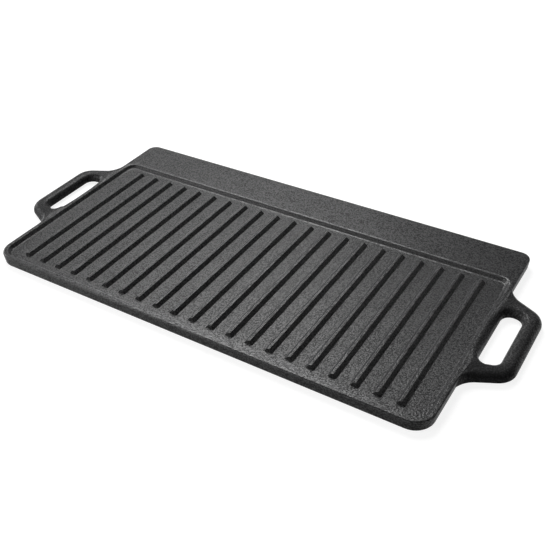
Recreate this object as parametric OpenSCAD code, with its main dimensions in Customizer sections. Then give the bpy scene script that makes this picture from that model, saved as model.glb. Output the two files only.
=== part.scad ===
// Camp griddle plate: an iron casting with a ribbed pool, a rear ledge and two loop handles.
// Origin at the centre of the underside. +X runs to the right handle, +Y to the rear ledge, +Z up.
// The casting is divided along its natural lines into solids that meet face to face.

/* [Plate] */
// Length of the plate between its side edges, without the handles
plate_length = 438; // [380:1:520]
// Depth of the plate from the front edge to the rear edge
plate_depth = 240; // [200:1:300]
// Thickness of the web between the two cooking faces
web_thickness = 4.9; // [3.5:0.1:8]
// Radius of the plate's front corners in plan
front_corner_r = 18; // [14:0.5:30]
// Radius of the plate's rear corners in plan
rear_corner_r = 10; // [8:0.5:24]
// Inward lean of the outer walls, from the rim's top down to the underside
wall_draft = 1; // [0.2:0.1:2]
// Rounding of the outer edges, above and below
edge_r = 1.4; // [0.4:0.1:2]

/* [Ribbed pool] */
// Depth of the pool below the rim
pool_depth = 3.3; // [2:0.1:5]
// Width of the rim's top at the front and the sides
rim_width = 5; // [4:0.1:9]
// Depth of the smooth ledge behind the pool
ledge_depth = 45; // [25:0.5:70]
// Lean of the pool's walls, measured in plan
pool_wall_run = 2.2; // [1:0.1:4]
// Radius of the pool's front corners at its floor
pool_front_corner_r = 11; // [8:0.5:24]
// Radius of the pool's rear corners at its floor
pool_rear_corner_r = 6; // [5:0.5:14]
// Rounding of the pool's upper edge
pool_lip_r = 1; // [0.3:0.1:1.5]

/* [Ribs] */
// Distance from one rib to the next
rib_pitch = 19.1; // [14:0.1:28]
// Height of a rib above the pool's floor
rib_height = 3.3; // [2:0.1:5]
// Width of a rib at its foot
rib_base_width = 8.1; // [6:0.1:10]
// Width of a rib at its crest, before rounding
rib_crest_width = 2.3; // [1.5:0.1:4]
// Rounding of a rib's crest
rib_crest_r = 0.7; // [0.2:0.1:0.9]
// Gap between the front wall of the pool and the foot of a rib
rib_front_gap = 5.4; // [2:0.1:15]
// Gap between the rear wall of the pool and the foot of a rib
rib_rear_gap = 6.4; // [2:0.1:15]
// Least gap between a side wall of the pool and the middle of the outer rib
rib_side_gap = 16; // [8:0.5:30]

/* [Handles] */
// Reach of a handle beyond the side edge of the plate
handle_reach = 35; // [30:0.5:50]
// Shift of the handles from the middle of the plate towards the rear
handle_shift = 1.5; // [-10:0.5:10]
// Width of a handle where the lines of its arms meet the plate
handle_root_width = 116; // [105:1:150]
// Width of a handle where the lines of its arms meet the line of its grip
handle_tip_width = 81.5; // [70:0.5:100]
// Width of the grip
grip_width = 14.5; // [10:0.5:18]
// Step from the corner of the handle to the end of the finger slot
slot_end_step = 7; // [5:0.5:14]
// Strip of iron between the plate's edge and the finger slot
slot_inner_strip = 2.9; // [1:0.1:5]
// Radius of the finger slot's corners
slot_corner_r = 8.5; // [4:0.5:10]
// Outer radius between an arm and the grip
elbow_r = 17; // [10:0.5:24]
// Hollow radius between an arm and the plate
root_r = 22; // [6:0.5:26]
// Height of a handle
handle_height = 8.2; // [6.5:0.1:9]
// Drop of a handle's top below the top of the rim
handle_drop = 0.3; // [0.1:0.1:1.5]
// Rounding of a handle's upper edges
handle_edge_r = 4.5; // [1.5:0.1:5.5]
// Rounding of a handle's lower edges
handle_foot_r = 1.2; // [0.4:0.1:2]

/* [Reverse face] */
// Depth of the flat griddle face below its rim
reverse_depth = 2.3; // [1:0.1:4]
// Width of the rim that the plate stands on
reverse_rim_width = 9; // [6:0.5:16]
// Lean of the reverse rim's inner wall, measured in plan
reverse_wall_run = 1.6; // [0.6:0.1:3]
// Radius of the reverse face's corners at its floor
reverse_corner_r = 8; // [5:0.5:14]

/* [Hidden] */
$fn = 64;
iron = [0.14, 0.14, 0.145];
// Length by which a cutting shape runs past the surface that it cuts
over = 1;
// Straight steps in one rounded corner of a section or an outline
arc_steps = 5;
// Overlap between a core and the bands round it
lap = 0.8;
// Straight length that is left between two roundings
least_flat = 0.2;
// Depth to which the arms of a handle run on inside the plate, and the strip between them
arm_sink = 2;
strip_sink = 8;
// Sides of a box line, in the order in which it runs
front = 0;
right = 1;
rear = 2;
left = 3;

floor_z = reverse_depth + web_thickness;
plate_height = floor_z + pool_depth;
half_length = plate_length / 2;
half_depth = plate_depth / 2;
edge_band = wall_draft + edge_r + 2 * lap;

// Outlines run counter-clockwise as [x, y, corner radius], with the inside to the left of the line
plate_line = box_line(half_length, -half_depth, half_depth, front_corner_r, rear_corner_r);

pool_x = half_length - rim_width - pool_wall_run;
pool_front = -half_depth + rim_width + pool_wall_run;
pool_rear = half_depth - ledge_depth - pool_wall_run;
pool_line = box_line(pool_x, pool_front, pool_rear, pool_front_corner_r, pool_rear_corner_r);

reverse_inset = wall_draft + reverse_rim_width + reverse_wall_run;
reverse_x = half_length - reverse_inset;
reverse_y = half_depth - reverse_inset;
reverse_line = box_line(reverse_x, -reverse_y, reverse_y, reverse_corner_r, reverse_corner_r);

rib_count = 2 * floor((pool_x - rib_side_gap) / rib_pitch) + 1;
rib_front = pool_front + rib_front_gap;
rib_length = pool_rear - rib_rear_gap - rib_front;
rib_run = (rib_base_width - rib_crest_width) / 2;

handle_top = plate_height - handle_drop;
handle_rounding = min(
  handle_edge_r,
  handle_height - handle_foot_r - least_flat,
  (grip_width - least_flat) / 2
);
grip_x = half_length + handle_reach;
tip_y = handle_tip_width / 2;
arm_slope = (handle_root_width - handle_tip_width) / 2 / handle_reach;
root_x = half_length - arm_sink;
root_y = handle_root_width / 2 + arm_slope * arm_sink;
root_end = root_y + root_r * tan((90 - atan(arm_slope)) / 2);
handle_line = [
  [root_x, -root_end, 0],
  [root_x, -root_y, root_r],
  [grip_x, -tip_y, elbow_r],
  [grip_x, tip_y, elbow_r],
  [root_x, root_y, root_r],
  [root_x, root_end, 0]
];

slot_in = half_length + slot_inner_strip;
slot_out = grip_x - grip_width;
slot_y = tip_y - slot_end_step;
slot_r = min(slot_corner_r, (slot_out - slot_in - least_flat) / 2);
slot_line = [
  [slot_in, -slot_y, slot_r],
  [slot_out, -slot_y, slot_r],
  [slot_out, slot_y, slot_r],
  [slot_in, slot_y, slot_r]
];

// Stations round the finger slot: points on the slot's edge, and the points that face them outside.
// Those of the strip beside the plate face points deep in the plate.
strip_y = slot_y / 3;
strip_x = half_length - strip_sink;
slot_ring = concat(rounded(slot_line), [[slot_in, strip_y], [slot_in, -strip_y]]);
arm_arcs = [for (i = [1:4]) each arc_points(handle_line[i - 1], handle_line[i], handle_line[i + 1])];
outer_ring = concat(
  [[strip_x, -slot_y]],
  [for (i = [1:len(arm_arcs) - 2]) arm_arcs[i]],
  [[strip_x, slot_y], [strip_x, strip_y], [strip_x, -strip_y]]
);

function rib_name(i) = str("rib_", i < 10 ? "0" : "", i);

// Box in plan with its own corner radius at the front and at the rear
function box_line(x, front, rear, front_r, rear_r) =
  [[-x, front, front_r], [x, front, front_r], [x, rear, rear_r], [-x, rear, rear_r]];

function flat(p) = [p.x, p.y];
function unit(v) = v / norm(v);
function left_of(v) = [-v.y, v.x];
function heading(v) = atan2(v.y, v.x);
function before(line, i) = line[(i + len(line) - 1) % len(line)];
function after(line, i) = line[(i + 1) % len(line)];

// Turn from one direction to another, positive to the left
function turn(from, to) = atan2(from.x * to.y - from.y * to.x, from * to);

// Step that moves corner b of the line a-b-c to the left by 1 mm on both of its lines
function corner_step(a, b, c) =
  let (u = unit(flat(b) - flat(a)), v = unit(flat(c) - flat(b)))
  (left_of(u) + left_of(v)) / (1 + u * v);

// Turn of the line a-b-c at b
function bend(a, b, c) = turn(flat(b) - flat(a), flat(c) - flat(b));

// Length that the arc at b takes from each of its two lines
function arc_cut(a, b, c) = b.z * tan(abs(bend(a, b, c)) / 2);

// Centre of the arc at b
function arc_centre(a, b, c) = flat(b) + sign(bend(a, b, c)) * b.z * corner_step(a, b, c);

// Points of the arc at b
function arc_points(a, b, c) =
  let (
    side = sign(bend(a, b, c)),
    start = heading(-side * left_of(flat(b) - flat(a)))
  )
  [for (k = [0:arc_steps])
    let (angle = start + bend(a, b, c) * k / arc_steps)
    arc_centre(a, b, c) + b.z * [cos(angle), sin(angle)]];

// Points of a closed outline with its corners rounded
function rounded(line) =
  [for (i = [0:len(line) - 1])
    each line[i].z == 0 ? [flat(line[i])] : arc_points(before(line, i), line[i], after(line, i))];

// Closed outline moved to the left by d, its arcs still about the same centres
function inset(line, d) =
  [for (i = [0:len(line) - 1])
    let (
      a = before(line, i),
      b = line[i],
      c = after(line, i),
      moved = flat(b) + d * corner_step(a, b, c)
    )
    [moved.x, moved.y, b.z - d * sign(bend(a, b, c))]];

// Sweeps a section along a closed line that turns to the left. The section's x is the distance inwards.
module sweep_along(line) {
  for (i = [0:len(line) - 1]) {
    a = line[i];
    b = after(line, i);
    cut = arc_cut(before(line, i), a, b);
    translate(flat(a) + cut * unit(flat(b) - flat(a)))
      rotate(heading(flat(b) - flat(a)))
        rotate([90, 0, 90])
          linear_extrude(norm(flat(b) - flat(a)) - cut - arc_cut(a, b, after(line, i + 1)))
            children();
    sweep_arc(before(line, i), a, b) children();
  }
}

// Sweeps a section round the arc at b, which turns to the left
module sweep_arc(a, b, c) {
  translate(arc_centre(a, b, c))
    rotate(heading(-left_of(flat(b) - flat(a))))
      rotate_extrude(angle = bend(a, b, c))
        translate([b.z, 0])
          mirror([1, 0])
            children();
}

// Solid inside a closed line: a band with its own section along the line, and a core within it
module band_and_core(line, band, low, high) {
  sweep_along(line) children();
  translate([0, 0, low])
    linear_extrude(high - low)
      polygon(rounded(inset(line, band - lap)));
}

// Outer form of the plate, with leaning walls and rounded edges
module plate_block() {
  band_and_core(plate_line, edge_band, 0, plate_height)
    polygon(rounded([
      [wall_draft, 0, edge_r],
      [edge_band, 0, 0],
      [edge_band, plate_height, 0],
      [0, plate_height, edge_r]
    ]));
}

// Layer of the plate between two heights
module plate_layer(low, high) {
  intersection() {
    plate_block();
    translate([-plate_length, -plate_depth, low])
      cube([2 * plate_length, 2 * plate_depth, high - low]);
  }
}

// Recess that opens upwards: floor at z = 0, walls that lean outwards, rounded lip at z = depth
module recess(line, depth, run, lip_r) {
  below = run / depth * over;
  band = below + 2 * lap;
  lip = arc_points([-run - 2 * lip_r, depth, 0], [-run, depth, lip_r], [0, 0, 0]);
  band_and_core(line, band, -over, depth + over)
    polygon(concat(
      [[below, -over], [band, -over], [band, depth + over], [lip[0].x, depth + over]],
      lip
    ));
}

// Area in plan that belongs to one side of a box line, cut off by its corners' diagonals
function side_area(line, side) =
  let (
    inward = [[1, 1], [-1, 1], [-1, -1], [1, -1]],
    next = (side + 1) % 4,
    start = flat(line[side]) + line[side].z * inward[side],
    end = flat(line[next]) + line[next].z * inward[next]
  )
  [start, start - plate_depth * inward[side], end - plate_depth * inward[next], end];

// One side of the raised surround of the pool
module pool_side(side) {
  intersection() {
    difference() {
      plate_layer(floor_z, plate_height);
      translate([0, 0, floor_z])
        recess(pool_line, pool_depth, pool_wall_run, pool_lip_r);
    }
    linear_extrude(plate_height + over)
      polygon(side_area(pool_line, side));
  }
}

// One side of the rim round the reverse face
module reverse_side(side) {
  intersection() {
    difference() {
      plate_layer(0, reverse_depth);
      translate([0, 0, reverse_depth])
        mirror([0, 0, 1])
          recess(reverse_line, reverse_depth, reverse_wall_run, edge_r);
    }
    linear_extrude(plate_height)
      polygon(side_area(reverse_line, side));
  }
}

// Section of the handle from a point on the slot's edge to the point outside, flat below and domed above
function handle_section(from, to) =
  [for (p = rounded([
      [0, 0, handle_foot_r],
      [norm(to - from), 0, handle_foot_r],
      [norm(to - from), handle_height, handle_rounding],
      [0, handle_height, handle_rounding]
    ]))
    let (q = from + p.x * unit(to - from))
    [q.x, q.y, p.y]];

// Two triangles for each patch between neighbouring stations of a closed ring of closed sections
function ring_faces(stations, points) =
  [for (i = [0:stations - 1], k = [0:points - 1])
    let (
      a = i * points + k,
      b = i * points + (k + 1) % points,
      c = (i + 1) % stations * points + (k + 1) % points,
      d = (i + 1) % stations * points + k
    )
    each [[a, b, c], [a, c, d]]];

// Loop handle at the right end, cut to fit the plate's edge
module loop_handle() {
  sections = [for (i = [0:len(slot_ring) - 1]) handle_section(slot_ring[i], outer_ring[i])];
  difference() {
    translate([0, handle_shift, handle_top - handle_height])
      polyhedron([for (section = sections) each section], ring_faces(len(sections), len(sections[0])));
    plate_block();
  }
}

module base_plate() {
  color(iron) plate_layer(reverse_depth, floor_z);
}

module front_rim() {
  color(iron) pool_side(front);
}

module left_rim() {
  color(iron) pool_side(left);
}

module right_rim() {
  color(iron) pool_side(right);
}

module rear_ledge() {
  color(iron) pool_side(rear);
}

module reverse_front_rim() {
  color(iron) reverse_side(front);
}

module reverse_rear_rim() {
  color(iron) reverse_side(rear);
}

module reverse_left_rim() {
  color(iron) reverse_side(left);
}

module reverse_right_rim() {
  color(iron) reverse_side(right);
}

module right_handle() {
  color(iron) loop_handle();
}

module left_handle() {
  color(iron) mirror([1, 0, 0]) loop_handle();
}

// Rib number i, counted from the left: a bar with leaning flanks and ends
module rib(i) {
  color(iron)
    translate([(i - (rib_count + 1) / 2) * rib_pitch, rib_front, floor_z])
      intersection() {
        translate([0, rib_length, 0])
          rotate([90, 0, 0])
            linear_extrude(rib_length)
              polygon(rounded([
                [-rib_base_width / 2, 0, 0],
                [rib_base_width / 2, 0, 0],
                [rib_crest_width / 2, rib_height, rib_crest_r],
                [-rib_crest_width / 2, rib_height, rib_crest_r]
              ]));
        translate([-rib_base_width, 0, 0])
          rotate([90, 0, 90])
            linear_extrude(2 * rib_base_width)
              polygon(rounded([
                [0, 0, 0],
                [rib_length, 0, 0],
                [rib_length - rib_run, rib_height, rib_crest_r],
                [rib_run, rib_height, rib_crest_r]
              ]));
      }
}

base_plate();
front_rim();
left_rim();
right_rim();
rear_ledge();
reverse_front_rim();
reverse_rear_rim();
reverse_left_rim();
reverse_right_rim();
left_handle();
right_handle();
for (i = [1:rib_count])
  rib(i);
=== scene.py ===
import math

import bmesh
import bpy
from mathutils import Matrix, Vector


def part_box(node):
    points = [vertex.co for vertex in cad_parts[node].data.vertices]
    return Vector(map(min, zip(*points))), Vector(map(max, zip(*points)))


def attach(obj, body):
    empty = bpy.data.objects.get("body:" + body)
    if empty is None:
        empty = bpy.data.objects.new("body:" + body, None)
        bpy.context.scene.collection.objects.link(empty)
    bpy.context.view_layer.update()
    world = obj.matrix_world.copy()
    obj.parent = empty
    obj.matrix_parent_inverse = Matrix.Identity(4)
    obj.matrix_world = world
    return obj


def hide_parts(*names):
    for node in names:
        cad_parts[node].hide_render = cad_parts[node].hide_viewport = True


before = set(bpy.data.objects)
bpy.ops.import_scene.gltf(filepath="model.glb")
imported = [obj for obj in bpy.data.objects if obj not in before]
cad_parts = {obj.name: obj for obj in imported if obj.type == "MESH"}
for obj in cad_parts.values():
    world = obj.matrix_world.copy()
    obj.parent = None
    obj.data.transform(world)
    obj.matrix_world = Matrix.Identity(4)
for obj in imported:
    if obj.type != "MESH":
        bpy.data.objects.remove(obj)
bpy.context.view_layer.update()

MM = 0.001

# Heights of the casting's faces and the reach of its handles, from its solids
REVERSE_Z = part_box("base_plate")[0].z
FLOOR_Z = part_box("base_plate")[1].z
TOP_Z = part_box("front_rim")[1].z
HANDLE_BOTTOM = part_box("right_handle")[0].z
HANDLE_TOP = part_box("right_handle")[1].z
GRIP_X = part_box("right_handle")[1].x

# Plate: outer walls and edges
PLATE_X = 219 * MM
PLATE_Y = 120 * MM
FRONT_CORNER_R = 18 * MM
REAR_CORNER_R = 10 * MM
WALL_DRAFT = 1 * MM
EDGE_R = 1.4 * MM

# Side edges beside the finger slots, which roll down. Along Y the roll starts, is full, fades and ends.
EDGE_ROLL_U = 3.2 * MM
EDGE_ROLL_V = 6 * MM
EDGE_ROLL_SQUEEZE = 0.8
SLOT_ROLL = [y * MM for y in (-42, -24, 34, 50)]
SIDE_Y = [y * MM for y in range(-75, 55, 3)]

# Pool: its floor's outline, its wall, and its roundings at lip and foot, which widen towards the ledge
RIM_WIDTH = 5 * MM
LEDGE_DEPTH = 45 * MM
POOL_WALL_RUN = 2.2 * MM
POOL_FRONT_R = 11 * MM
POOL_REAR_R = 6 * MM
POOL_LIP_R = 1.1 * MM
POOL_FOOT_R = 1.3 * MM
LEDGE_LIP_R = 3 * MM
LEDGE_FOOT_R = 3 * MM
LEDGE_LIP_FADE = [y * MM for y in (45, 66)]
POOL_X = PLATE_X - RIM_WIDTH - POOL_WALL_RUN
POOL_FRONT = -PLATE_Y + RIM_WIDTH + POOL_WALL_RUN
POOL_REAR = PLATE_Y - LEDGE_DEPTH - POOL_WALL_RUN

# How far the pool's side walls lean out further, and the share of it that is lost beside a rolled edge
POOL_SIDE_LEAN = 0.8 * MM
ROLL_LEAN_LOSS = 0.4

# Reverse face: flat floor inside a rim
REVERSE_RIM = 9 * MM
REVERSE_RUN = 1.6 * MM
REVERSE_R = 8 * MM
REVERSE_FOOT_R = 1.2 * MM
REVERSE_INSET = WALL_DRAFT + REVERSE_RIM + REVERSE_RUN
REVERSE_X = PLATE_X - REVERSE_INSET
REVERSE_Y = PLATE_Y - REVERSE_INSET

# Outlines in plan: half length, front, rear, radius of the front corners, radius of the rear corners
PLATE = (PLATE_X, -PLATE_Y, PLATE_Y, FRONT_CORNER_R, REAR_CORNER_R)
POOL = (POOL_X, POOL_FRONT, POOL_REAR, POOL_FRONT_R, POOL_REAR_R)
REVERSE = (REVERSE_X, -REVERSE_Y, REVERSE_Y, REVERSE_R, REVERSE_R)

# Ribs: places and lengths come from their solids
RIB_NAMES = sorted(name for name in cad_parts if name.startswith("rib_"))
RIB_RUN = 3 * MM
RIB_END_RUN = 1.2 * MM
RIB_END_TRIM = 1.7 * MM
RIB_FOOT_R = 0.5 * MM
RIB_CREST_R = 0.5 * MM
RIB_PLAN_R = 1.3 * MM
RIB_PLAN_LEAST_R = 0.35 * MM
RIB_SKIRT = 0.5 * MM

# Handles: trapezoid loops
HANDLE_SHIFT = 1.5 * MM
HANDLE_ROOT_Y = 58 * MM
HANDLE_TIP_Y = 40.75 * MM
GRIP_WIDTH = 14.5 * MM
SLOT_STEP = 7 * MM
SLOT_STRIP = 2.9 * MM
SLOT_R = 8.5 * MM
ELBOW_R = 17 * MM
ROOT_R = 22 * MM
ARM_SINK = 2 * MM
STRIP_SINK = 4.4 * MM

# Section of a handle: flat below, domed above. The dome's two sides are shares of the section's width.
HANDLE_FOOT_R = 1.2 * MM
DOME_IN = 0.36
DOME_IN_MOST = 6.5 * MM
DOME_OUT = 0.4
DOME_OUT_MOST = 8 * MM
DOME_V = 6.6 * MM
STRIP_DOME_IN = 6.2 * MM
STRIP_DOME_OUT = 0.3 * MM
FLUSH_GAP = 0.02 * MM
FLUSH_RUN = 8 * MM

# Meshes: steps of their curves, and a strip beside each rounding, so that the flat beyond it shades flat
CORNER_STEPS = 12
ROUND_STEPS = 5
ARM_STEPS = 14
DOME_STEPS = 8
HOLD = 0.35 * MM
SHARP_ANGLE = math.radians(50)

# Cast iron: its patterns in features a metre, and the noise values that are spread to the grain's levels
GRAIN_SCALE = 800
PEBBLE_SCALE = 600
WAVE_SCALE = 70
BLOTCH_SCALE = 22
FINE_DETAIL = 2
BLOTCH_DETAIL = 4
FINE_ROUGHNESS = 0.5
BLOTCH_ROUGHNESS = 0.6
GRAIN_NOISE = (0.34, 0.66)
GRAIN_LEVELS = (0.235, 0.765)

# Cast iron: each pattern's share of the relief, and how much of the fine relief the ledge keeps
RELIEF_DEPTH = 0.2 * MM
GRAIN_RELIEF = 0.4
PEBBLE_RELIEF = 0.5
WAVE_RELIEF = 0.5
LEDGE_RELIEF = 0.6

# Cast iron: soft borders of its regions, along Y, along X from the middle, or by a normal's upward part
LEDGE_BORDER_Y = (70 * MM, 78 * MM)
FRONT_BORDER_Y = (-112 * MM, -104 * MM)
HANDLE_BORDER_X = (212 * MM, 223 * MM)
ARM_BORDER_X = (217 * MM, 228 * MM)
ARM_BORDER_Y = (-44 * MM, -20 * MM)
WALL_BORDER_UP = (0.05, 0.3)

# Cast iron: what each pattern and region adds to the tone, and the colours at both ends of the tones
BLOTCH_TONE = 0.5
GRAIN_TONE = 1.1
# Roundings: lighter, partly as wear on outside edges and partly as painted highlight along lips, crests and
# feet
WORN_AND_HIGHLIGHTED_TONE = 0.25
# Painted shade: the handles and surfaces that face sideways are darker
PAINTED_SHADE_TONE = -0.2
# Painted shade on the handles' front arms
ARM_SHADE_TONE = -0.25
TONE_ENDS = (0.45, 1.0)
DARK_IRON = (0.020, 0.020, 0.0205, 1)
PALE_IRON = (0.050, 0.050, 0.051, 1)

# Cast iron: roughness by tone, specular level by grain, and by what share each region changes them
ROUGH_TONES = (0.4, 1.2)
ROUGHNESS = (0.41, 0.35)
FRONT_ROUGHNESS = 0.8
SHEEN_GRAIN = (0.2, 0.8)
SHEEN = (0.07, 0.30)
# Painted shade on handles and sideways faces also lowers the sheen
PAINTED_SHADE_SHEEN = -0.3
WALL_SHEEN = -0.4
# Roundings: glossier, partly as wear and partly as painted highlight
WORN_AND_HIGHLIGHTED_SHEEN = 0.7
# Painted shade on the handles' front arms also lowers the sheen
ARM_SHADE_SHEEN = -0.6

# Floor: a disc in metres, with a rim that sweeps up
FLOOR_R = 3.5
FLOOR_SWEEP = 1.2
FLOOR_STEPS = 12
FLOOR_SIDES = 96
FLOOR_COLOUR = (0.30, 0.30, 0.30, 1)
FLOOR_GLOW = 0.86

# Camera at the photograph's place, turned a little about its own axis
CAMERA_EYE = Vector((339.9, -495.4, 444.6)) * MM
CAMERA_AIM = Vector((22.16, -8.12, 0)) * MM
CAMERA_LENS = 52.548
CAMERA_SENSOR = 36
CAMERA_ROLL = math.radians(2.331)

# Softboxes: place, width and height in metres, and power in watts
KEY_LIGHT = ((-0.83, 1.02, 1.61), 1.0, 1.0, 37)
FILL_LIGHT = ((-0.76, -0.96, 0.57), 0.7, 0.4, 6)
SIDE_LIGHT = ((-3.0, 0.4, 0.9), 1.6, 1.0, 38)
SURROUND_STRENGTH = 0.05

WHITE = (1, 1, 1, 1)


def arc(before, corner, after, radius, steps):
    """Points of the arc of that radius that rounds a corner between two others, all in one plane."""
    here = Vector(corner)
    came = (here - Vector(before)).normalized()
    goes = (Vector(after) - here).normalized()
    turn = -came.angle_signed(goes)
    cut = radius * math.tan(abs(turn) / 2)
    centre = here - cut * came + math.copysign(radius, turn) * Vector((-came.y, came.x))
    points = []
    for step in range(steps + 1):
        spoke = here - cut * came - centre
        spoke.rotate(Matrix.Rotation(turn * step / steps, 2))
        points.append(centre + spoke)
    return points


def rounded(path):
    """Points (u, v, wear_and_highlight) of an open path of corners (u, v, radius), with a flat strip beside
    each rounding.

    The mark is 1 on an outside rounding, -1 on a hollow one and 0 on a flat. The material lightens both,
    partly as wear on outside edges and partly as painted highlight along lips, crests and feet.
    """
    points = [(*path[0][:2], 0)]
    for before, corner, after in zip(path, path[1:], path[2:]):
        here = Vector(corner[:2])
        came = (here - Vector(before[:2])).normalized()
        goes = (Vector(after[:2]) - here).normalized()
        wear_and_highlight = math.copysign(1, came.angle_signed(goes))
        bend = arc(before[:2], corner[:2], after[:2], corner[2], ROUND_STEPS)
        points.append((*(bend[0] - HOLD * came), 0))
        points += [(*point, wear_and_highlight) for point in bend]
        points.append((*(bend[-1] + HOLD * goes), 0))
    points.append((*path[-1][:2], 0))
    return points


def box_ring(half_x, front, rear, front_r, rear_r, inset, z, least_r=0.0, side_y=()):
    """Ring of points round a box in plan with round corners, moved inwards by inset.

    The two sides get further points at the places side_y.
    """
    ring = [Vector((inset - half_x, y, z)) for y in reversed(side_y)]
    for side, edge, corner_r, start in (
        (-1, front, front_r, 180),
        (1, front, front_r, 270),
        (1, rear, rear_r, 0),
        (-1, rear, rear_r, 90),
    ):
        radius = max(corner_r - inset, least_r)
        inward = 1 if edge == front else -1
        x = side * (half_x - inset - radius)
        y = edge + inward * (inset + radius)
        if side == 1 and edge == rear:
            ring += [Vector((half_x - inset, side_point, z)) for side_point in side_y]
        for step in range(CORNER_STEPS + 1):
            angle = math.radians(start + 90 * step / CORNER_STEPS)
            ring.append(Vector((x + radius * math.cos(angle), y + radius * math.sin(angle), z)))
    return ring


def smooth_step(value, start, end):
    """Soft step from 0 at start to 1 at end."""
    share = min(max((value - start) / (end - start), 0), 1)
    return share * share * (3 - 2 * share)


def edge_roll(y):
    """How far the side edge is rolled down at y, from 0 to 1."""
    start, full, fade, end = SLOT_ROLL
    return smooth_step(y, start, full) - smooth_step(y, fade, end)


def new_mesh(name, rings, closed_loop=False):
    """Closed skin through rings of equally many (point, wear_and_highlight): capped at both ends, or joined
    end to end.
    """
    bm = bmesh.new()
    wear_and_highlight_layer = bm.verts.layers.float.new("wear_and_highlight")
    grid = []
    for ring in rings:
        row = []
        for point, wear_and_highlight in ring:
            vert = bm.verts.new(point)
            vert[wear_and_highlight_layer] = wear_and_highlight
            row.append(vert)
        grid.append(row)
    pairs = list(zip(grid, grid[1:]))
    if closed_loop:
        pairs.append((grid[-1], grid[0]))
    else:
        bm.faces.new(grid[0][::-1])
        bm.faces.new(grid[-1])
    for low, high in pairs:
        for i in range(len(low)):
            j = (i + 1) % len(low)
            bm.faces.new((low[i], low[j], high[j], high[i]))
    bmesh.ops.recalc_face_normals(bm, faces=bm.faces)
    mesh = bpy.data.meshes.new(name)
    bm.to_mesh(mesh)
    bm.free()
    mesh.shade_smooth()
    mesh.set_sharp_from_angle(angle=SHARP_ANGLE)
    return mesh


def add_piece(name, mesh, material, replaced):
    """Puts a mesh in the scene as a piece of the casting that stands for some of its solids."""
    piece = bpy.data.objects.new(name, mesh)
    bpy.context.scene.collection.objects.link(piece)
    mesh.materials.append(material)
    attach(piece, "root")
    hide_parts(*replaced)


def rolled_edge(point, inset):
    """Point of the plate's upper edge, moved onto the wider roll where its side edge is rolled down."""
    roll = edge_roll(point.y)
    if roll == 0:
        return point
    drop = TOP_Z - point.z
    round_inset = min(inset, EDGE_R)
    round_drop = min(drop, EDGE_R)
    widened = round_inset * (1 + roll * (EDGE_ROLL_U / EDGE_R - 1))
    squeezed = (inset - round_inset) * (1 - EDGE_ROLL_SQUEEZE * roll)
    drop += round_drop * roll * (EDGE_ROLL_V / EDGE_R - 1)
    return Vector((math.copysign(PLATE_X - widened - squeezed, point.x), point.y, TOP_Z - drop))


def plate_ring(inset, z, wear_and_highlight):
    """Ring of the plate's outer wall. Its upper half follows the rolled side edges, which get none of the
    lighter wear and painted highlight.
    """
    ring = box_ring(*PLATE, inset, z, side_y=SIDE_Y)
    if z < TOP_Z / 2:
        return [(point, wear_and_highlight) for point in ring]
    return [(rolled_edge(point, inset), wear_and_highlight * (1 - edge_roll(point.y))) for point in ring]


def pool_levels(lip_r, foot_r):
    """Points (inset, z, wear_and_highlight) down the pool's wall, from the lip's flat strip to the floor."""
    return rounded([
        (-POOL_WALL_RUN - lip_r, TOP_Z, 0),
        (-POOL_WALL_RUN, TOP_Z, lip_r),
        (0, FLOOR_Z, foot_r),
        (LEDGE_FOOT_R, FLOOR_Z, 0),
    ])[1:]


def pool_ring(rim_level, ledge_level):
    """Ring of the pool's wall between its rounding at the rim and the one at the ledge.

    The side walls lean out further and get less of the lighter wear and painted highlight.
    """
    inset, z, wear_and_highlight = rim_level
    rim_ring = box_ring(*POOL, inset, z, side_y=SIDE_Y)
    ledge_ring = box_ring(*POOL, *ledge_level[:2], side_y=SIDE_Y)
    lean = POOL_SIDE_LEAN * (z - FLOOR_Z) / (TOP_Z - FLOOR_Z)
    ring = []
    for near, far in zip(rim_ring, ledge_ring):
        off_ledge = 1 - smooth_step(near.y, *LEDGE_LIP_FADE)
        on_side = smooth_step(abs(near.x), POOL_X - POOL_FRONT_R, POOL_X)
        point = far.lerp(near, off_ledge)
        lean_here = lean * off_ledge * (1 - ROLL_LEAN_LOSS * edge_roll(near.y))
        point.x += math.copysign(lean_here, near.x)
        ring.append((point, wear_and_highlight * (1 - on_side * off_ledge)))
    return ring


def add_casting(material):
    """The plate with its pool, ledge and reverse face: one skin from the reverse floor to the pool floor."""
    reverse_path = [
        (2 * REVERSE_FOOT_R, REVERSE_Z, 0),
        (0, REVERSE_Z, REVERSE_FOOT_R),
        (-REVERSE_RUN, 0, EDGE_R),
        (-REVERSE_RUN - REVERSE_RIM / 2, 0, 0),
    ]
    plate_path = [
        (WALL_DRAFT + 2 * EDGE_R, 0, 0),
        (WALL_DRAFT, 0, EDGE_R),
        (0, TOP_Z, EDGE_R),
        (2 * EDGE_R, TOP_Z, 0),
    ]
    rings = []
    for inset, z, wear_and_highlight in rounded(reverse_path):
        rings.append([(point, wear_and_highlight) for point in box_ring(*REVERSE, inset, z, side_y=SIDE_Y)])
    # The plate's last point is left out, as the pool's first one is: the rim's top is one strip between them
    for level in rounded(plate_path)[:-1]:
        rings.append(plate_ring(*level))
    rim_levels = pool_levels(POOL_LIP_R, POOL_FOOT_R)
    ledge_levels = pool_levels(LEDGE_LIP_R, LEDGE_FOOT_R)
    for rim_level, ledge_level in zip(rim_levels, ledge_levels):
        rings.append(pool_ring(rim_level, ledge_level))
    replaced = ["base_plate", "front_rim", "left_rim", "right_rim", "rear_ledge"]
    replaced += ["reverse_front_rim", "reverse_rear_rim", "reverse_left_rim", "reverse_right_rim"]
    add_piece("casting", new_mesh("casting", rings), material, replaced)


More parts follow.
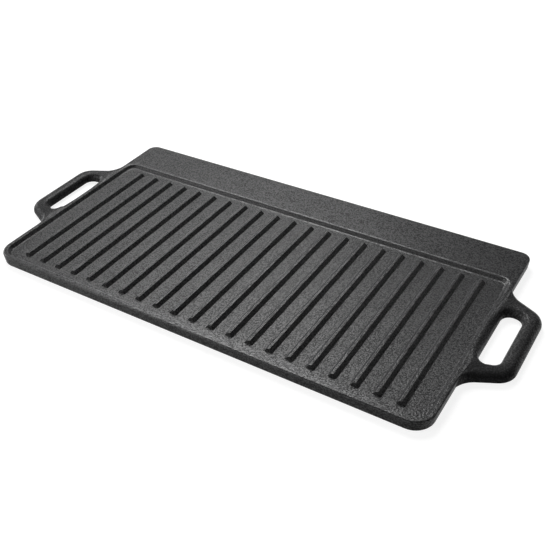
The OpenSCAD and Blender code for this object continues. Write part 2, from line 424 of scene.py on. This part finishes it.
def add_rib(node, material):
    """A cooking rib: leaning flanks and ends that run into the floor in a fillet, and a rounded crest.

    A skirt sinks into the floor below the fillet.
    """
    low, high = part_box(node)
    middle = (low.x + high.x) / 2
    middle_y = (low.y + high.y) / 2
    foot = ((high.x - low.x) / 2, low.y + RIB_END_TRIM, high.y - RIB_END_TRIM)
    path = [
        (-2 * RIB_FOOT_R, low.z, 0),
        (0, low.z, RIB_FOOT_R),
        (RIB_RUN, high.z, RIB_CREST_R),
        (RIB_RUN + RIB_CREST_R, high.z, 0),
    ]
    from_fillet = rounded(path)[2:]
    skirt = (from_fillet[0][0], low.z - RIB_SKIRT, 0)
    rings = []
    for inset, z, wear_and_highlight in [skirt] + from_fillet:
        reach = inset * (1 - RIB_END_RUN / RIB_RUN)
        ring = []
        for point in box_ring(*foot, RIB_PLAN_R, RIB_PLAN_R, inset, z, RIB_PLAN_LEAST_R):
            shift = Vector((middle, math.copysign(reach, point.y - middle_y), 0))
            ring.append((point + shift, wear_and_highlight))
        rings.append(ring)
    add_piece(node + "_cast", new_mesh(node + "_cast", rings), material, [node])


def handle_stations():
    """Stations round the finger slot, each the ends of a section in plan and the two sides of its dome.

    A section runs from the slot's edge to the point that faces it: on the handle's outer line or, along
    the strip beside the plate, inside the plate.
    """
    slope = (HANDLE_ROOT_Y - HANDLE_TIP_Y) / (GRIP_X - PLATE_X)
    root_x = PLATE_X - ARM_SINK
    root_y = HANDLE_ROOT_Y + slope * ARM_SINK
    end_y = 2 * root_y
    slot_in = PLATE_X + SLOT_STRIP
    slot_out = GRIP_X - GRIP_WIDTH
    slot_y = HANDLE_TIP_Y - SLOT_STEP
    slot = [(slot_in, -slot_y), (slot_out, -slot_y), (slot_out, slot_y), (slot_in, slot_y)]
    # The outer line runs inside the plate before and after the handle
    line = [(root_x, -end_y), (root_x, -root_y), (GRIP_X, -HANDLE_TIP_Y)]
    line += [(x, -y) for x, y in reversed(line)]
    radii = [ROOT_R, ELBOW_R, ELBOW_R, ROOT_R]
    inner = []
    outer = []
    for i, radius in enumerate(radii):
        inner += arc(slot[i - 1], slot[i], slot[(i + 1) % len(slot)], SLOT_R, ARM_STEPS)
        outer += arc(line[i], line[i + 1], line[i + 2], radius, ARM_STEPS)
    stations = []
    for near, far in zip(inner[1:-1], outer[1:-1]):
        width = (far - near).length
        dome_in = min(DOME_IN * width, DOME_IN_MOST)
        dome_out = min(DOME_OUT * width, DOME_OUT_MOST)
        stations.append((near, far, dome_in, dome_out))
    third = slot_y / 3
    for near_y, far_y in ((inner[-1].y, slot_y), (third, third), (-third, -third), (inner[0].y, -slot_y)):
        near = Vector((slot_in, near_y))
        far = Vector((PLATE_X - STRIP_SINK, far_y))
        stations.append((near, far, STRIP_DOME_IN, STRIP_DOME_OUT))
    return stations


def handle_section(inner, outer, dome_in, dome_out):
    """Closed section of the handle between two points in plan: a flat foot and a domed top."""
    width = (outer - inner).length
    along = (outer - inner) / width
    height = HANDLE_TOP - HANDLE_BOTTOM
    foot = HANDLE_FOOT_R
    points = []
    for u, v, round_u, round_v, start in (
        (foot, foot, foot, foot, 180),
        (width - foot, foot, foot, foot, 270),
        (width - dome_out, height - DOME_V, dome_out, DOME_V, 0),
        (dome_in, height - DOME_V, dome_in, DOME_V, 90),
    ):
        for step in range(DOME_STEPS + 1):
            angle = math.radians(start + 90 * step / DOME_STEPS)
            at = inner + (u + round_u * math.cos(angle)) * along
            rise = (v + round_v * math.sin(angle)) / height
            ease = smooth_step(at.x, PLATE_X, PLATE_X + FLUSH_RUN)
            top = TOP_Z - FLUSH_GAP + ease * (HANDLE_TOP - TOP_Z + FLUSH_GAP)
            z = HANDLE_BOTTOM + rise * (top - HANDLE_BOTTOM)
            points.append(Vector((at.x, at.y + HANDLE_SHIFT, z)))
    return points


def add_handle(node, side, material):
    """A loop handle, flush with the rim where it leaves the plate. Side is 1 at the right, -1 at the left."""
    rings = []
    for station in handle_stations():
        rings.append([(Vector((side * p.x, p.y, p.z)), 0) for p in handle_section(*station)])
    add_piece(node + "_cast", new_mesh(node + "_cast", rings, closed_loop=True), material, [node])


def node_of(tree, kind, **values):
    """New shader node with some of its inputs set by name."""
    made = tree.nodes.new(kind)
    for key, value in values.items():
        made.inputs[key].default_value = value
    return made


def split_of(tree, vector):
    """The X, Y and Z outputs of a vector socket."""
    made = tree.nodes.new("ShaderNodeSeparateXYZ")
    tree.links.new(vector, made.inputs[0])
    return made.outputs


def math_of(tree, operation, first, second=0.0):
    """Output of a math node on two sockets or numbers."""
    made = tree.nodes.new("ShaderNodeMath")
    made.operation = operation
    for socket, value in zip(made.inputs, (first, second)):
        if isinstance(value, (int, float)):
            socket.default_value = value
        else:
            tree.links.new(value, socket)
    return made.outputs[0]


def plus_share(tree, first, second, share):
    """Output of first + share * second."""
    return math_of(tree, "ADD", first, math_of(tree, "MULTIPLY", second, share))


def ramp_of(tree, source, span, ends):
    """Output of a smooth ramp from ends[0] to ends[1] while the source goes through the span."""
    made = tree.nodes.new("ShaderNodeMapRange")
    made.interpolation_type = "SMOOTHSTEP"
    tree.links.new(source, made.inputs["Value"])
    for key, value in zip(("From Min", "From Max", "To Min", "To Max"), (*span, *ends)):
        made.inputs[key].default_value = value
    return made.outputs[0]


def noise_of(tree, place, scale, detail, roughness):
    """Output of a noise texture with that many features a metre."""
    made = node_of(tree, "ShaderNodeTexNoise", Scale=scale, Detail=detail, Roughness=roughness)
    tree.links.new(place, made.inputs["Vector"])
    return made.outputs["Fac"]


def add_relief(tree, shader, place, y, grain):
    """Sand grain, pebbles and soft waves as bump. The grain and the pebbles are weaker on the ledge."""
    waves = noise_of(tree, place, WAVE_SCALE, FINE_DETAIL, FINE_ROUGHNESS)
    pebbles = node_of(tree, "ShaderNodeTexVoronoi", Scale=PEBBLE_SCALE)
    tree.links.new(place, pebbles.inputs["Vector"])
    on_ledge = ramp_of(tree, y, LEDGE_BORDER_Y, (1.0, LEDGE_RELIEF))
    height = math_of(tree, "MULTIPLY", grain, GRAIN_RELIEF)
    height = plus_share(tree, height, pebbles.outputs["Distance"], PEBBLE_RELIEF)
    height = math_of(tree, "MULTIPLY", height, on_ledge)
    height = plus_share(tree, height, waves, WAVE_RELIEF)
    bump = node_of(tree, "ShaderNodeBump", Strength=1.0, Distance=RELIEF_DEPTH)
    tree.links.new(height, bump.inputs["Height"])
    tree.links.new(bump.outputs["Normal"], shader.inputs["Normal"])


def cast_iron():
    """Seasoned cast iron: grain and blotches, roundings lighter from wear and painted highlight, and painted
    shade on walls, handles and front arms.
    """
    material = bpy.data.materials.new("seasoned_cast_iron")
    material.use_nodes = True
    tree = material.node_tree
    shader = tree.nodes["Principled BSDF"]
    place = tree.nodes.new("ShaderNodeTexCoord").outputs["Object"]
    where = split_of(tree, place)
    y = where["Y"]
    from_middle = math_of(tree, "ABSOLUTE", where["X"])
    noise = noise_of(tree, place, GRAIN_SCALE, FINE_DETAIL, FINE_ROUGHNESS)
    grain = ramp_of(tree, noise, GRAIN_NOISE, GRAIN_LEVELS)
    blotch = noise_of(tree, place, BLOTCH_SCALE, BLOTCH_DETAIL, BLOTCH_ROUGHNESS)
    add_relief(tree, shader, place, y, grain)

    wear_and_highlight = tree.nodes.new("ShaderNodeAttribute")
    wear_and_highlight.attribute_name = "wear_and_highlight"
    # Roundings get lighter and glossier: partly wear on outside edges, partly painted highlight along lips,
    # crests and feet
    worn_and_highlighted_edges = math_of(tree, "ABSOLUTE", wear_and_highlight.outputs["Fac"])
    # Painted shade: surfaces that face sideways, and the handles beyond the plate, are darker and less glossy
    normal = tree.nodes.new("ShaderNodeNewGeometry").outputs["Normal"]
    wall = ramp_of(tree, split_of(tree, normal)["Z"], WALL_BORDER_UP, (1.0, 0.0))
    painted_shade = math_of(tree, "MAXIMUM", ramp_of(tree, from_middle, HANDLE_BORDER_X, (0.0, 1.0)), wall)
    # Painted shade on the handles' front arms: darker and less glossy
    on_arm = ramp_of(tree, from_middle, ARM_BORDER_X, (0.0, 1.0))
    painted_arm_shade = math_of(tree, "MULTIPLY", on_arm, ramp_of(tree, y, ARM_BORDER_Y, (1.0, 0.0)))

    tone = math_of(tree, "MULTIPLY", blotch, BLOTCH_TONE)
    for mask, share in ((grain, GRAIN_TONE), (worn_and_highlighted_edges, WORN_AND_HIGHLIGHTED_TONE), (painted_shade, PAINTED_SHADE_TONE), (painted_arm_shade, ARM_SHADE_TONE)):
        tone = plus_share(tree, tone, mask, share)
    colour = tree.nodes.new("ShaderNodeValToRGB")
    for element, position, shade in zip(colour.color_ramp.elements, TONE_ENDS, (DARK_IRON, PALE_IRON)):
        element.position = position
        element.color = shade
    tree.links.new(tone, colour.inputs["Fac"])
    tree.links.new(colour.outputs["Color"], shader.inputs["Base Color"])

    at_front = ramp_of(tree, y, FRONT_BORDER_Y, (FRONT_ROUGHNESS, 1.0))
    rough = math_of(tree, "MULTIPLY", ramp_of(tree, tone, ROUGH_TONES, ROUGHNESS), at_front)
    tree.links.new(rough, shader.inputs["Roughness"])
    sheen = ramp_of(tree, grain, SHEEN_GRAIN, SHEEN)
    for mask, share in ((painted_shade, PAINTED_SHADE_SHEEN), (wall, WALL_SHEEN), (worn_and_highlighted_edges, WORN_AND_HIGHLIGHTED_SHEEN), (painted_arm_shade, ARM_SHADE_SHEEN)):
        sheen = math_of(tree, "MULTIPLY", sheen, plus_share(tree, 1.0, mask, share))
    tree.links.new(sheen, shader.inputs["Specular IOR Level"])
    return material


def pale_floor():
    """Pale matt floor that the camera and reflections see as white, with the object's soft shadow."""
    material = bpy.data.materials.new("pale_floor")
    material.use_nodes = True
    tree = material.node_tree
    shader = tree.nodes["Principled BSDF"]
    shader.inputs["Base Color"].default_value = FLOOR_COLOUR
    shader.inputs["Roughness"].default_value = 1.0
    shader.inputs["Specular IOR Level"].default_value = 0.0
    shader.inputs["Emission Color"].default_value = WHITE
    path = tree.nodes.new("ShaderNodeLightPath")
    seen = math_of(tree, "ADD", path.outputs["Is Camera Ray"], path.outputs["Is Glossy Ray"])
    seen = math_of(tree, "ADD", seen, path.outputs["Is Transmission Ray"])
    tree.links.new(math_of(tree, "MULTIPLY", seen, FLOOR_GLOW), shader.inputs["Emission Strength"])
    return material


def add_floor():
    """Round floor with a rim that sweeps up, so that a level view also ends on it."""
    bm = bmesh.new()
    turns = [2 * math.pi * i / FLOOR_SIDES for i in range(FLOOR_SIDES)]
    rows = []
    for step in range(FLOOR_STEPS + 1):
        angle = 0.5 * math.pi * step / FLOOR_STEPS
        radius = FLOOR_R + FLOOR_SWEEP * math.sin(angle)
        z = FLOOR_SWEEP * (1 - math.cos(angle))
        rows.append([bm.verts.new((radius * math.cos(t), radius * math.sin(t), z)) for t in turns])
    bm.faces.new(rows[0])
    for low, high in zip(rows, rows[1:]):
        for i in range(FLOOR_SIDES):
            j = (i + 1) % FLOOR_SIDES
            bm.faces.new((low[i], high[i], high[j], low[j]))
    mesh = bpy.data.meshes.new("floor")
    bm.to_mesh(mesh)
    bm.free()
    mesh.shade_smooth()
    mesh.materials.append(pale_floor())
    floor = bpy.data.objects.new("floor", mesh)
    bpy.context.scene.collection.objects.link(floor)


def add_camera():
    """The camera that the scene is rendered through."""
    data = bpy.data.cameras.new("camera")
    data.lens = CAMERA_LENS
    data.sensor_width = CAMERA_SENSOR
    camera = bpy.data.objects.new("camera", data)
    bpy.context.scene.collection.objects.link(camera)
    look = (CAMERA_AIM - CAMERA_EYE).to_track_quat("-Z", "Y").to_matrix()
    turn = Matrix.Rotation(-CAMERA_ROLL, 3, "Z")
    camera.matrix_world = Matrix.Translation(CAMERA_EYE) @ (look @ turn).to_4x4()
    bpy.context.scene.camera = camera


def add_softbox(name, place, width, height, power):
    """Area light that stands at that place and looks at the object."""
    data = bpy.data.lights.new(name, "AREA")
    data.shape = "RECTANGLE"
    data.size = width
    data.size_y = height
    data.energy = power
    light = bpy.data.objects.new(name, data)
    bpy.context.scene.collection.objects.link(light)
    look = (-Vector(place)).to_track_quat("-Z", "Y").to_matrix()
    light.matrix_world = Matrix.Translation(place) @ look.to_4x4()
    light.visible_camera = False


def add_light():
    """A softbox behind on the left, a weak one in front, a far one at the left, and a dim surround."""
    add_softbox("key", *KEY_LIGHT)
    add_softbox("fill", *FILL_LIGHT)
    add_softbox("side", *SIDE_LIGHT)
    world = bpy.data.worlds.new("surround")
    world.use_nodes = True
    background = world.node_tree.nodes["Background"]
    background.inputs["Color"].default_value = WHITE
    background.inputs["Strength"].default_value = SURROUND_STRENGTH
    bpy.context.scene.world = world


iron = cast_iron()
add_casting(iron)
for rib_name in RIB_NAMES:
    add_rib(rib_name, iron)
add_handle("right_handle", 1, iron)
add_handle("left_handle", -1, iron)
add_floor()
add_camera()
add_light()
bpy.context.scene.view_settings.view_transform = "Standard"
